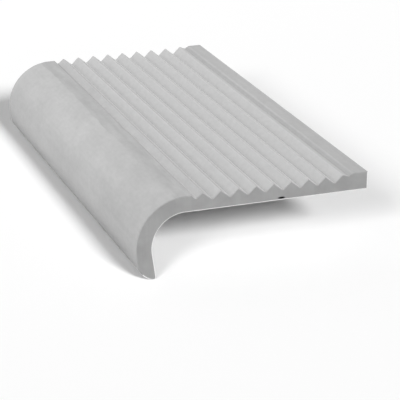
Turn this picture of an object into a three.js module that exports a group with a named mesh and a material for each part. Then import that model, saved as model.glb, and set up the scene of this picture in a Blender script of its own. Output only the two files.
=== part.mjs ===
// Aluminium stair nose: one extruded bar, cut square at both ends.
// A ribbed flange lies on the tread, a round nose turns over its front edge, and a short lip
// hangs down in front of the riser. It is one solid with no holes and no moving parts.
//
// Frame, in millimetres: X runs along the bar, -Y is the front and +Z is up.
// The origin is the middle of the flat underside that lies on the tread.

import * as THREE from "three";

// Bar
const LENGTH = 120;
const WIDTH = 60; // front of the nose to the rear edge

// Nose and lip
const NOSE_RADIUS = 12.5; // outside of the bend
const WALL = 4.1; // of the nose and the lip, and the flange's thickness before the first rib
const LIP_LEAN = THREE.MathUtils.degToRad(8); // the bend goes on past upright by this much
const LIP_FACE = 5.95; // straight length of the lip's inner face
const TOE_RADIUS = 5.3; // outer curve at the lip's tip
const HEEL_RADIUS = 0.7; // inner corner at the lip's tip

// Ribs along the flange, which grip the shoe: steep towards the nose, gentle behind
const RIB_TOP = 4.5; // tread surface to the crests, before they are rounded
const RIB_DEPTH = 2; // crest to groove, before they are rounded
const RIB_PITCH = 4.54;
const RIB_FRONT_RUN = 2.05; // steep side, groove to crest
const RIB_ROUNDING = 0.35; // at crests and grooves

// First groove, shallower than the others, between the smooth front land and the first rib
const FRONT_LAND = 1.7; // flat stretch behind the nose's bend
const FIRST_GROOVE_FALL = 1.0; // front land to the bottom of the groove
const FIRST_GROOVE_RUN = 1.0; // the groove's front side
const FIRST_RIB_RUN = 1.75; // the groove's rear side

// Rear land: a shallow dip behind the last rib, then a flat strip
const REAR_LAND_TOP = 4.55; // tread surface to the strip
const REAR_LAND_WIDTH = 3.6; // at least
const DIP_FALL = 0.6; // last crest to the bottom of the dip
const DIP_RUN = 1.8; // last crest to the bottom of the dip
const DIP_STEP_RUN = 1.1; // bottom of the dip to the strip
const LAND_ROUNDING = 0.25; // at the corners of both lands

// How far a facet may lie inside the arc that it stands for
const ARC_TOLERANCE = 0.003;

// The section is drawn with u from the front of the nose to the rear and v up from the tread
const bendCentre = new THREE.Vector2(NOSE_RADIUS, WALL - NOSE_RADIUS);
const bendInnerRadius = NOSE_RADIUS - WALL;
const undersideMiddle = (NOSE_RADIUS + WIDTH) / 2;

function polar(centre, radius, angle) {
  return new THREE.Vector2(Math.cos(angle), Math.sin(angle)).multiplyScalar(radius).add(centre);
}

function angleFrom(centre, point) {
  return Math.atan2(point.y - centre.y, point.x - centre.x);
}

// Points along the arc that turns from one angle to the other the short way, both ends included.
function arc(centre, radius, from, to) {
  const turn = THREE.MathUtils.euclideanModulo(to - from + Math.PI, 2 * Math.PI) - Math.PI;
  const step = 2 * Math.acos(1 - ARC_TOLERANCE / radius);
  const steps = Math.ceil(Math.abs(turn) / step);
  return Array.from({ length: steps + 1 }, (_, i) => polar(centre, radius, from + (turn * i) / steps));
}

// Arc that rounds off a corner between two straight stretches.
function roundedCorner(before, corner, after, radius) {
  const back = before.clone().sub(corner).normalize();
  const onward = after.clone().sub(corner).normalize();
  const halfAngle = Math.acos(back.dot(onward)) / 2;
  const reach = radius / Math.tan(halfAngle);
  const middle = back.clone().add(onward).normalize();
  const centre = middle.multiplyScalar(radius / Math.sin(halfAngle)).add(corner);
  const start = back.multiplyScalar(reach).add(corner);
  const end = onward.multiplyScalar(reach).add(corner);
  return arc(centre, radius, angleFrom(centre, start), angleFrom(centre, end));
}

// Corners of the flange's top from the rear edge to the front land, each with its rounding.
function flangeTop() {
  const landStart = NOSE_RADIUS + FRONT_LAND;
  const firstCrest = landStart + FIRST_GROOVE_RUN + FIRST_RIB_RUN;
  const rearStrip = DIP_RUN + DIP_STEP_RUN + REAR_LAND_WIDTH;
  const pitches = Math.floor((WIDTH - rearStrip - firstCrest) / RIB_PITCH);
  const lastCrest = firstCrest + pitches * RIB_PITCH;
  const dip = lastCrest + DIP_RUN;

  const corners = [
    [WIDTH, REAR_LAND_TOP, LAND_ROUNDING],
    [dip + DIP_STEP_RUN, REAR_LAND_TOP, LAND_ROUNDING],
    [dip, RIB_TOP - DIP_FALL, LAND_ROUNDING],
    [lastCrest, RIB_TOP, RIB_ROUNDING],
  ];
  for (let rib = pitches; rib > 0; rib--) {
    const crest = firstCrest + rib * RIB_PITCH;
    corners.push([crest - RIB_FRONT_RUN, RIB_TOP - RIB_DEPTH, RIB_ROUNDING]);
    corners.push([crest - RIB_PITCH, RIB_TOP, RIB_ROUNDING]);
  }
  corners.push([landStart + FIRST_GROOVE_RUN, WALL - FIRST_GROOVE_FALL, RIB_ROUNDING]);
  corners.push([landStart, WALL, LAND_ROUNDING]);
  return corners.map(([u, v, rounding]) => ({ point: new THREE.Vector2(u, v), rounding }));
}

// The nose's bend and the lip, from the flange's top round to its underside.
function noseAndLip() {
  const bendStart = Math.PI / 2;
  const bendEnd = Math.PI + LIP_LEAN;
  const down = new THREE.Vector2(Math.sin(LIP_LEAN), -Math.cos(LIP_LEAN));
  const back = new THREE.Vector2(Math.cos(LIP_LEAN), Math.sin(LIP_LEAN));

  // The heel's circle touches the inner face at its end
  const faceStart = polar(bendCentre, bendInnerRadius, bendEnd);
  const heelCentre = faceStart.addScaledVector(down, LIP_FACE).addScaledVector(back, -HEEL_RADIUS);

  // The toe's circle touches the outer face, and the heel's circle lies inside it and touches it
  const toeBehindHeel = TOE_RADIUS + HEEL_RADIUS - WALL;
  const toeAboveHeel = Math.sqrt((TOE_RADIUS - HEEL_RADIUS) ** 2 - toeBehindHeel ** 2);
  const toeCentre = heelCentre.clone().addScaledVector(back, toeBehindHeel);
  toeCentre.addScaledVector(down, -toeAboveHeel);
  const toeEnd = angleFrom(toeCentre, heelCentre);

  return [
    ...arc(bendCentre, NOSE_RADIUS, bendStart, bendEnd),
    ...arc(toeCentre, TOE_RADIUS, bendEnd, toeEnd),
    ...arc(heelCentre, HEEL_RADIUS, toeEnd, LIP_LEAN),
    ...arc(bendCentre, bendInnerRadius, bendEnd, bendStart),
  ];
}

// The whole section, once round, with each arc's shared end given only once.
function section() {
  const rearFoot = new THREE.Vector2(WIDTH, 0);
  const bendStart = new THREE.Vector2(NOSE_RADIUS, WALL);
  const corners = flangeTop();
  const top = corners.flatMap(({ point, rounding }, i) => {
    const before = i > 0 ? corners[i - 1].point : rearFoot;
    const after = i + 1 < corners.length ? corners[i + 1].point : bendStart;
    return roundedCorner(before, point, after, rounding);
  });
  const outline = [rearFoot, ...top, ...noseAndLip()];
  const joined = 1e-6;
  return outline.filter((point, i) => i === 0 || point.distanceTo(outline[i - 1]) > joined);
}

function stairNose() {
  const bar = new THREE.ExtrudeGeometry(new THREE.Shape(section()), {
    depth: LENGTH,
    bevelEnabled: false,
  });
  bar.translate(-undersideMiddle, 0, -LENGTH / 2);
  const alongY = new THREE.Vector3(0, 1, 0);
  const alongZ = new THREE.Vector3(0, 0, 1);
  const alongX = new THREE.Vector3(1, 0, 0);
  bar.applyMatrix4(new THREE.Matrix4().makeBasis(alongY, alongZ, alongX));

  const millFinish = new THREE.MeshStandardMaterial({ color: "#b9b8b6", roughness: 0.45, metalness: 1 });
  const mesh = new THREE.Mesh(bar, millFinish);
  mesh.name = "stair_nose";
  return mesh;
}

const group = new THREE.Group();
group.add(stairNose());
export default group;
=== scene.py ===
"""Looks of an extruded aluminium stair nose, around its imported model.

Metres. +X runs along the bar, -Y is the front where the nose and lip are, +Z is up from the tread.
"""

import math

import bmesh
import bpy
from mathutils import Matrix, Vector


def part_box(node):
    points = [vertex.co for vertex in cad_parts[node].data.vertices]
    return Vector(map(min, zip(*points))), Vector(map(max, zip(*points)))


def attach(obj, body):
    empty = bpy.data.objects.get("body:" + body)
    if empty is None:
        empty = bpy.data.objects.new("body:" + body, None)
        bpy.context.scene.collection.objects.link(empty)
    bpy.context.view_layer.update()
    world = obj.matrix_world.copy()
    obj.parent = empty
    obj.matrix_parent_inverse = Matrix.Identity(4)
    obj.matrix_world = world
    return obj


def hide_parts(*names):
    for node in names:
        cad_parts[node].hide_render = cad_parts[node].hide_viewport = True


MM = 0.001
NODE = "stair_nose"

# Camera: past the near end, before the nose and above the tread
CAMERA_PAST_END = 377.5 * MM
CAMERA_BEFORE_NOSE = 121.5 * MM
CAMERA_ABOVE_TREAD = 155.4 * MM
CAMERA_DOWN = math.radians(20.81)
CAMERA_TURN = math.radians(69.96)
CAMERA_LENS = 162.7
CAMERA_SEES_FROM = 10 * MM

# Bar's surface
MERGE_WITHIN = 0.001 * MM
FLAT_WITHIN = math.radians(0.5)
SMOOTH_WITHIN = math.radians(30)

# The cut ends' edges are broken by this much on the cut end, and by less along the bar, because
# the file was held flatter to the cut end than to the skin
EDGE_BREAK = 0.2 * MM
EDGE_BREAK_ALONG = 0.1 * MM

# How a face is told by its normal: the cut ends face along the bar, and the broken edges that face
# down, or that face the rear and hardly up, keep the pale filed tone as a painted highlight line
FACES_END = 0.99
FACES_DOWN = -0.29
FACES_REAR = 0.32
HARDLY_UP = 0.08

# Strips that run along the bar in a tone of their own, painted as light and shade: the ribs paler,
# the land and its edge darker, the first groove lighter near the end and darker far off, and the
# dip behind the ribs darker. Where each fades in and where it fades out, in mm behind the nose's
# front
RIBS = ((16.8, 17.0), (54.2, 55.0))
LAND = ((9.9, 10.3), (14.9, 15.4))
LAND_EDGE = ((9.9, 10.3), (11.2, 13.4))
FIRST_GROOVE = ((14.1, 14.4), (15.1, 15.5))
REAR_DIP = ((54.9, 55.4), (55.5, 56.1))

# How far a rib's side has turned to the rear where it starts to look like a rear side, and where
# it fully does
TURNED_REARWARD = (0.2, 0.5)

# Heights between which a rib's front side gets a painted highlight up to its crest and painted
# shade down to the groove, and its rear side gets painted light down to the groove
CREST_PAINTED_HIGHLIGHT = (4.0 * MM, 4.4 * MM)
GROOVE_PAINTED_SHADE = (3.2 * MM, 2.7 * MM)
REAR_SIDE_PAINTED_LIGHT = (4.3 * MM, 2.8 * MM)

# Painted light and shade: the rear sides are painted paler towards the rear, the lip darker
# downwards, and the land and the first groove darker towards the far end
REAR_RIBS_PAINTED_LIGHT = (-17 * MM, 16 * MM)
LIP_PAINTED_SHADE = (-8 * MM, -14 * MM)
FAR_END_PAINTED_SHADE = (50 * MM, -40 * MM)

# Noise patterns: how long and how wide a streak is, how much finer detail it has, and its place in
# the noise, chosen so that the blotches fall much as they do in the photo. Real mottle and die
# lines are mostly finer, and are drawn as coarse as they need to be to show.
CLOUDS = (34 * MM, 12 * MM, 2.0, 11.2)
PATCHES = (9 * MM, 5 * MM, 2.0, 5.8)
STAINS = (14 * MM, 3 * MM, 2.0, 3.7)
MOTTLE = (1.8 * MM, 1.1 * MM, 3.0, 2.9)
DIE_LINES = (260 * MM, 0.9 * MM, 3.0, 7.7)
EDGE_WANDER = (9 * MM, 4 * MM, 5.0, 4.0)
SAWN_BLOTCHES = (4 * MM, 4 * MM, 2.0, 3.3)
NOISE_ROUGHNESS = 0.55
NOISE_LOW = 0.35
NOISE_MIDDLE = 0.5
NOISE_HIGH = 0.65

# How much of a second tone shows through the first: half, or a faint grain
EVENLY = 0.5
DIE_LINES_SHOW = 0.08
MOTTLE_SHOWS = 0.09

# The noise keeps near its middle, so this moves the land's edge by up to about half a millimetre
WANDER_REACH = 2.5 * MM

# How rough each surface is, and how strong and how deep its marks are
SATIN_ROUGHNESS = (0.42, 0.52)
REAR_SIDE_ROUGHNESS = 0.7
SAWN_ROUGHNESS = 0.55
FILED_ROUGHNESS = 0.35
DIE_LINE_RELIEF = (0.15, 0.02 * MM)
TOOTH_RELIEF = (0.3, 0.03 * MM)

# Saw's tooth marks on the cut ends
TOOTH_TILT = math.radians(18)
TOOTH_SPACING = 0.5 * MM
TOOTH_LENGTH = 14 * MM
TOOTH_DETAIL = 2.0

# Nick in the near end's lower edge. Its rim, over which it darkens, is a share of the way in.
NICK_BEHIND_MIDDLE = 0.95 * MM
NICK_HEIGHT = 0.55 * MM
NICK_LONG = 1.1 * MM
NICK_HIGH = 0.33 * MM
NICK_RIM = 0.4

# Light
KEY_PLACE = (-0.5, -0.16, 0.22)
KEY_AIM = (-0.06, -0.03, 0)
KEY_WIDTH = 0.6
KEY_WATTS = 0.3
AMBIENT = 0.16
FLOOR_REACH = 1.5

# Far lamps for the floor: the direction towards each, how soft it is and how strong
FAR_LAMPS = {
    "end_side_lamp": ((0.98, 0.12, 0.53), math.radians(13), 4.0),
    "front_side_lamp": ((0.8, -0.75, 0.58), math.radians(16), 1.8),
}


def linear(hex_colour):
    """An sRGB hex colour as linear RGBA."""
    parts = [int(hex_colour[i : i + 2], 16) / 255 for i in (1, 3, 5)]
    curve = [c / 12.92 if c <= 0.04045 else ((c + 0.055) / 1.055) ** 2.4 for c in parts]
    return (*curve, 1.0)


def add_node(material, kind, inputs=None, **settings):
    """Adds a node with its settings, sets or links its inputs, and gives back its first output.

    An input goes by its name, or by its number where two have the same name.
    """
    tree = material.node_tree
    node = tree.nodes.new(kind)
    for name, value in settings.items():
        setattr(node, name, value)
    for name, value in (inputs or {}).items():
        if isinstance(name, int):
            socket = node.inputs[name]
        else:
            socket = next(s for s in node.inputs if s.name == name and s.enabled)
        if isinstance(value, bpy.types.NodeSocket):
            tree.links.new(value, socket)
        else:
            socket.default_value = value
    return next((s for s in node.outputs if s.enabled), None)


def new_material(name):
    material = bpy.data.materials.new(name)
    material.use_nodes = True
    material.node_tree.nodes.clear()
    return material


def finish_material(material, shader):
    add_node(material, "ShaderNodeOutputMaterial", {"Surface": shader})
    return material


def streaks(material, place, pattern):
    """Noise drawn out along the bar."""
    length, width, detail, noise_place = pattern
    stretched = add_node(
        material,
        "ShaderNodeMapping",
        {
            "Vector": place,
            "Location": (noise_place,) * 3,
            "Scale": (1 / length, 1 / width, 1 / width),
        },
    )
    return add_node(
        material,
        "ShaderNodeTexNoise",
        {"Vector": stretched, "Scale": 1.0, "Detail": detail, "Roughness": NOISE_ROUGHNESS},
    )


def blotches(material, place, pattern):
    """Soft blotches from 0 to 1.

    Noise keeps near its middle, so it is drawn out to the whole range.
    """
    noise = streaks(material, place, pattern)
    return add_node(
        material,
        "ShaderNodeMapRange",
        {"Value": noise, "From Min": NOISE_LOW, "From Max": NOISE_HIGH},
    )


def strip(material, place, edges):
    """One inside a strip that runs along the bar, and zero outside it."""
    (rise_from, rise_to), (fall_from, fall_to) = edges
    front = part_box(NODE)[0].y
    across = add_node(material, "ShaderNodeSeparateXYZ", {"Vector": place}).node.outputs["Y"]
    sides = [
        add_node(
            material,
            "ShaderNodeMapRange",
            {"Value": across, "From Min": front + none * MM, "From Max": front + full * MM},
            interpolation_type="SMOOTHSTEP",
        )
        for none, full in ((rise_from, rise_to), (fall_to, fall_from))
    ]
    return add_node(material, "ShaderNodeMath", {0: sides[0], 1: sides[1]}, operation="MULTIPLY")


def laid_over(material, base, *layers):
    """The base tone with further tones laid over it in turn, each by its own mask."""
    tone = base
    for mask, colour in layers:
        tone = add_node(
            material, "ShaderNodeMix", {"Factor": mask, "A": tone, "B": colour}, data_type="RGBA"
        )
    return tone


def mill_aluminium():
    """Extruded aluminium, mill finish: a satin light grey with faint lengthwise die lines, a fine
    mottle and soft clouds of oxide. The ribs are painted paler, most of all as a painted highlight
    at their crests and as painted light low on their rear sides, which are rougher, and their front
    sides get painted shade down to the groove. The land between the nose and the ribs carries
    stains and is painted darker as painted shade, as are the dip behind the ribs and the lip."""
    m = new_material("mill_finish_aluminium")
    place = add_node(m, "ShaderNodeTexCoord").node.outputs["Object"]
    axes = add_node(m, "ShaderNodeSeparateXYZ", {"Vector": place}).node.outputs
    normal = add_node(m, "ShaderNodeNewGeometry").node.outputs["Normal"]
    facing = add_node(m, "ShaderNodeSeparateXYZ", {"Vector": normal}).node.outputs

    clouds = blotches(m, place, CLOUDS)
    patches = blotches(m, place, PATCHES)
    stains = blotches(m, place, STAINS)
    mottle = streaks(m, place, MOTTLE)
    die_lines = streaks(m, place, DIE_LINES)

    # The land's edge towards the nose isn't straight, so its place is moved by noise
    wander = streaks(m, place, EDGE_WANDER).node.outputs["Color"]
    middle = (NOISE_MIDDLE,) * 3
    centred = add_node(m, "ShaderNodeVectorMath", {0: wander, 1: middle}, operation="SUBTRACT")
    shift = add_node(
        m, "ShaderNodeVectorMath", {0: centred, "Scale": WANDER_REACH}, operation="SCALE"
    )
    strayed = add_node(m, "ShaderNodeVectorMath", {0: place, 1: shift}, operation="ADD")

    ribs = strip(m, place, RIBS)
    rearward, painted_crest_highlight, painted_groove_shade, painted_groove_light, rearmost, lip, far_part = (
        add_node(m, "ShaderNodeMapRange", {"Value": value, "From Min": none, "From Max": full})
        for value, (none, full) in (
            (facing["Y"], TURNED_REARWARD),
            (axes["Z"], CREST_PAINTED_HIGHLIGHT),
            (axes["Z"], GROOVE_PAINTED_SHADE),
            (axes["Z"], REAR_SIDE_PAINTED_LIGHT),
            (axes["Y"], REAR_RIBS_PAINTED_LIGHT),
            (axes["Z"], LIP_PAINTED_SHADE),
            (axes["X"], FAR_END_PAINTED_SHADE),
        )
    )
    rear_sides = add_node(m, "ShaderNodeMath", {0: rearward, 1: ribs}, operation="MULTIPLY")

    clouded = laid_over(m, linear("#afafaf"), (clouds, linear("#bdbdbd")))
    patched = laid_over(m, linear("#b2b2b2"), (patches, linear("#bababa")))
    # Towards the lip's tip the skin is painted darker: painted shade
    skin = laid_over(m, clouded, (EVENLY, patched), (lip, linear("#a4a4a4")))
    # The rib front sides are painted paler than the skin as painted light, with a painted highlight
    # up to the crest and painted shade down to the groove
    front_side = laid_over(
        m, linear("#bcbcbc"), (painted_crest_highlight, linear("#bfbfbf")), (painted_groove_shade, linear("#b6b6b6"))
    )
    # The rib rear sides are painted much paler low in the grooves and towards the rear: painted
    # light
    first_rear = laid_over(m, linear("#b7b7b7"), (painted_groove_light, linear("#e6e6e6")))
    last_rear = laid_over(m, linear("#cccccc"), (painted_groove_light, linear("#f8f8f8")))
    rear_side = laid_over(m, first_rear, (rearmost, last_rear))
    # The land and its edge are painted darker, more so towards the far end, as painted shade; the
    # stains laid over it are the metal's own
    land_middle = laid_over(m, linear("#b6b6b6"), (far_part, linear("#acacac")))
    land_edge = laid_over(m, linear("#b0b0b0"), (far_part, linear("#a4a4a4")))
    stained = laid_over(m, linear("#a7a7a7"), (stains, linear("#bcbcbc")))
    # The first groove is painted lighter near the end and darker towards the far end: painted light
    # and shade
    groove = laid_over(m, linear("#c6c6c6"), (far_part, linear("#b0b0b0")))
    land = laid_over(
        m, land_middle, (strip(m, strayed, LAND_EDGE), land_edge), (EVENLY, stained)
    )
    tone = laid_over(
        m,
        skin,
        (ribs, front_side),
        (rear_sides, rear_side),
        (strip(m, strayed, LAND), land),
        (strip(m, place, FIRST_GROOVE), groove),
        # The dip behind the ribs is painted dark: painted shade
        (strip(m, place, REAR_DIP), linear("#a8a8a8")),
    )
    for shows, grain in ((DIE_LINES_SHOW, die_lines), (MOTTLE_SHOWS, mottle)):
        tone = add_node(
            m,
            "ShaderNodeMix",
            {"Factor": shows, "A": tone, "B": grain},
            data_type="RGBA",
            blend_type="OVERLAY",
        )

    smoothest, roughest = SATIN_ROUGHNESS
    satin = add_node(
        m, "ShaderNodeMapRange", {"Value": die_lines, "To Min": smoothest, "To Max": roughest}
    )
    roughness = add_node(
        m, "ShaderNodeMix", {"Factor": rear_sides, "A": satin, "B": REAR_SIDE_ROUGHNESS}
    )
    strength, depth = DIE_LINE_RELIEF
    bump = add_node(
        m, "ShaderNodeBump", {"Height": die_lines, "Strength": strength, "Distance": depth}
    )
    shader = add_node(
        m,
        "ShaderNodeBsdfPrincipled",
        {"Base Color": tone, "Metallic": 1.0, "Roughness": roughness, "Normal": bump},
    )
    return finish_material(m, shader)


def sawn_aluminium():
    """Saw-cut end: duller and darker than the drawn skin, faintly blotched, with close parallel
    tooth marks and one small dark nick at the near end's lower edge."""
    m = new_material("saw_cut_aluminium")
    place = add_node(m, "ShaderNodeTexCoord").node.outputs["Object"]
    across_teeth = add_node(
        m,
        "ShaderNodeMapping",
        {
            "Vector": place,
            "Rotation": (TOOTH_TILT, 0, 0),
            "Scale": (1, 1 / TOOTH_SPACING, 1 / TOOTH_LENGTH),
        },
    )
    tooth_marks = add_node(
        m, "ShaderNodeTexNoise", {"Vector": across_teeth, "Scale": 1.0, "Detail": TOOTH_DETAIL}
    )
    in_nick = add_node(
        m,
        "ShaderNodeMapping",
        {
            "Vector": place,
            "Location": (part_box(NODE)[1].x, NICK_BEHIND_MIDDLE, NICK_HEIGHT),
            "Scale": (NICK_LONG, NICK_LONG, NICK_HIGH),
        },
        vector_type="TEXTURE",
    )
    inwards = add_node(m, "ShaderNodeTexGradient", {"Vector": in_nick}, gradient_type="SPHERICAL")
    nick = add_node(m, "ShaderNodeMapRange", {"Value": inwards, "From Max": NICK_RIM})

    marked = laid_over(m, linear("#a2a2a2"), (tooth_marks, linear("#acacac")))
    face_blotches = blotches(m, place, SAWN_BLOTCHES)
    blotched = laid_over(m, linear("#9f9f9f"), (face_blotches, linear("#afafaf")))
    tone = laid_over(m, marked, (EVENLY, blotched), (nick, linear("#1c1c1c")))
    strength, depth = TOOTH_RELIEF
    bump = add_node(
        m, "ShaderNodeBump", {"Height": tooth_marks, "Strength": strength, "Distance": depth}
    )
    shader = add_node(
        m,
        "ShaderNodeBsdfPrincipled",
        {"Base Color": tone, "Metallic": 1.0, "Roughness": SAWN_ROUGHNESS, "Normal": bump},
    )
    return finish_material(m, shader)


def filed_edge():
    """Edge broken with a file: fresh metal, paler and a little shinier than the rest, and kept only
    where its paler tone makes a painted highlight line.
    """
    m = new_material("filed_aluminium_edge")
    shader = add_node(
        m,
        "ShaderNodeBsdfPrincipled",
        {"Base Color": linear("#eeeeee"), "Metallic": 1.0, "Roughness": FILED_ROUGHNESS},
    )
    return finish_material(m, shader)


def studio_floor():
    """Plain matt white floor."""
    m = new_material("matt_white_floor")
    shader = add_node(
        m,
        "ShaderNodeBsdfPrincipled",
        {"Base Color": linear("#f7f7f7"), "Roughness": 1.0, "Specular IOR Level": 0.0},
    )
    return finish_material(m, shader)


def deselect_all():
    bpy.ops.object.select_all(action="DESELECT")


def make_active(piece):
    deselect_all()
    piece.select_set(True)
    bpy.context.view_layer.objects.active = piece


def select_end_edges(bar, ends):
    """Selects the edges that run round the section at each end, and nothing else."""
    bpy.ops.mesh.select_all(action="DESELECT")
    mesh = bmesh.from_edit_mesh(bar.data)
    for edge in mesh.edges:
        if any(all(abs(v.co.x - end) < MERGE_WITHIN for v in edge.verts) for end in ends):
            edge.select_set(True)
    bmesh.update_edit_mesh(bar.data)


def stair_nose_bar(node):
    """The bar itself: the model's surface with its flats joined and the cut ends' edges broken."""
    low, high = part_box(NODE)
    bar = node.copy()
    bar.data = node.data.copy()
    bar.name = "ribbed_stair_nose"
    bar.parent = None
    for key in list(bar.keys()):
        del bar[key]
    bpy.context.scene.collection.objects.link(bar)
    make_active(bar)
    skin, sawn, filed = 0, 1, 2
    bar.data.materials.clear()
    for material in (mill_aluminium(), sawn_aluminium(), filed_edge()):
        bar.data.materials.append(material)

    bpy.ops.object.mode_set(mode="EDIT")
    bpy.ops.mesh.select_mode(type="EDGE")
    bpy.ops.mesh.select_all(action="SELECT")
    bpy.ops.mesh.remove_doubles(threshold=MERGE_WITHIN)
    bpy.ops.mesh.dissolve_limited(angle_limit=FLAT_WITHIN)
    select_end_edges(bar, (low.x, high.x))
    bpy.ops.mesh.bevel(offset=EDGE_BREAK, segments=1, clamp_overlap=False, material=filed)

    # The bevel is as wide along the bar, so its edges on the skin move out towards the cut ends
    select_end_edges(bar, (low.x + EDGE_BREAK, high.x - EDGE_BREAK))
    stretch = (high.x - EDGE_BREAK_ALONG) / (high.x - EDGE_BREAK)
    bpy.ops.transform.resize(value=(stretch, 1, 1), center_override=(0, 0, 0))
    bpy.ops.object.mode_set(mode="OBJECT")

    # On the tread side the broken edge is skin, so the pale filed tone stays only as a painted
    # highlight line on the edges facing down or to the rear
    for face in bar.data.polygons:
        normal = face.normal
        below = normal.z <= FACES_DOWN
        behind = normal.y >= FACES_REAR and normal.z <= HARDLY_UP
        if abs(normal.x) > FACES_END:
            face.material_index = sawn
        elif face.material_index == filed and not below and not behind:
            face.material_index = skin
    bpy.ops.object.shade_smooth_by_angle(angle=SMOOTH_WITHIN)
    flats = bar.modifiers.new("flats", "WEIGHTED_NORMAL")
    flats.keep_sharp = True
    bpy.ops.object.modifier_apply(modifier=flats.name)

    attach(bar, "root")
    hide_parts(NODE)


def floor(level):
    deselect_all()
    bpy.ops.mesh.primitive_plane_add(size=2 * FLOOR_REACH, location=(0, 0, level))
    plane = bpy.context.object
    plane.name = "floor"
    bpy.ops.object.transform_apply(location=True)
    plane.data.materials.append(studio_floor())


def camera():
    low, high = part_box(NODE)
    eye = (high.x + CAMERA_PAST_END, low.y - CAMERA_BEFORE_NOSE, CAMERA_ABOVE_TREAD)
    tilt = math.pi / 2 - CAMERA_DOWN
    bpy.ops.object.camera_add(location=eye, rotation=(tilt, 0, CAMERA_TURN))
    bpy.context.object.data.lens = CAMERA_LENS
    bpy.context.object.data.clip_start = CAMERA_SEES_FROM
    bpy.context.scene.camera = bpy.context.object


def key_lamp():
    """Wide lamp beyond the far end and a little to the front, which the nose and ribs reflect."""
    bpy.ops.object.light_add(type="AREA", location=KEY_PLACE)
    light = bpy.context.object
    light.name = "key_lamp"
    aim = Vector(KEY_AIM) - Vector(KEY_PLACE)
    light.rotation_euler = aim.to_track_quat("-Z", "Y").to_euler()
    light.data.size = KEY_WIDTH
    light.data.energy = KEY_WATTS
    light.visible_camera = False


def far_lamp(name, towards, softness, strength):
    """Soft lamp so far away that it lights the floor evenly. The metal doesn't mirror it, because
    the white room that it mirrors is the world."""
    bpy.ops.object.light_add(type="SUN")
    light = bpy.context.object
    light.name = name
    light.rotation_euler = Vector(towards).to_track_quat("Z", "Y").to_euler()
    light.data.angle = softness
    light.data.energy = strength
    light.visible_camera = False
    light.visible_glossy = False


def white_room():
    """White wherever it is seen or mirrored, and a faint fill light for the rest."""
    world = bpy.data.worlds.new("white_studio")
    bpy.context.scene.world = world
    world.use_nodes = True
    world.node_tree.nodes.clear()
    path = add_node(world, "ShaderNodeLightPath").node.outputs
    seen = path["Is Camera Ray"]
    for way in ("Is Glossy Ray", "Is Transmission Ray"):
        seen = add_node(world, "ShaderNodeMath", {0: seen, 1: path[way]}, operation="MAXIMUM")
    strength = add_node(
        world, "ShaderNodeMapRange", {"Value": seen, "To Min": AMBIENT, "To Max": 1.0}
    )
    room = add_node(
        world, "ShaderNodeBackground", {"Color": linear("#ffffff"), "Strength": strength}
    )
    add_node(world, "ShaderNodeOutputWorld", {"Surface": room})


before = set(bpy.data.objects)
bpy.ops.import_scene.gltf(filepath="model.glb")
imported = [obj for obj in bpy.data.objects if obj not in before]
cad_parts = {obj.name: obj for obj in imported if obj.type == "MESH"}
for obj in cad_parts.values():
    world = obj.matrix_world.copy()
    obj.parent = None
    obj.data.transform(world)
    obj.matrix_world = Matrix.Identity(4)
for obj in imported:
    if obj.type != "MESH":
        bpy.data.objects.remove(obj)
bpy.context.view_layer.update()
deselect_all()
camera()
stair_nose_bar(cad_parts[NODE])
floor(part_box(NODE)[0].z)
key_lamp()
for lamp_name, (towards, softness, strength) in FAR_LAMPS.items():
    far_lamp(lamp_name, towards, softness, strength)
white_room()
bpy.context.scene.view_settings.view_transform = "Standard"
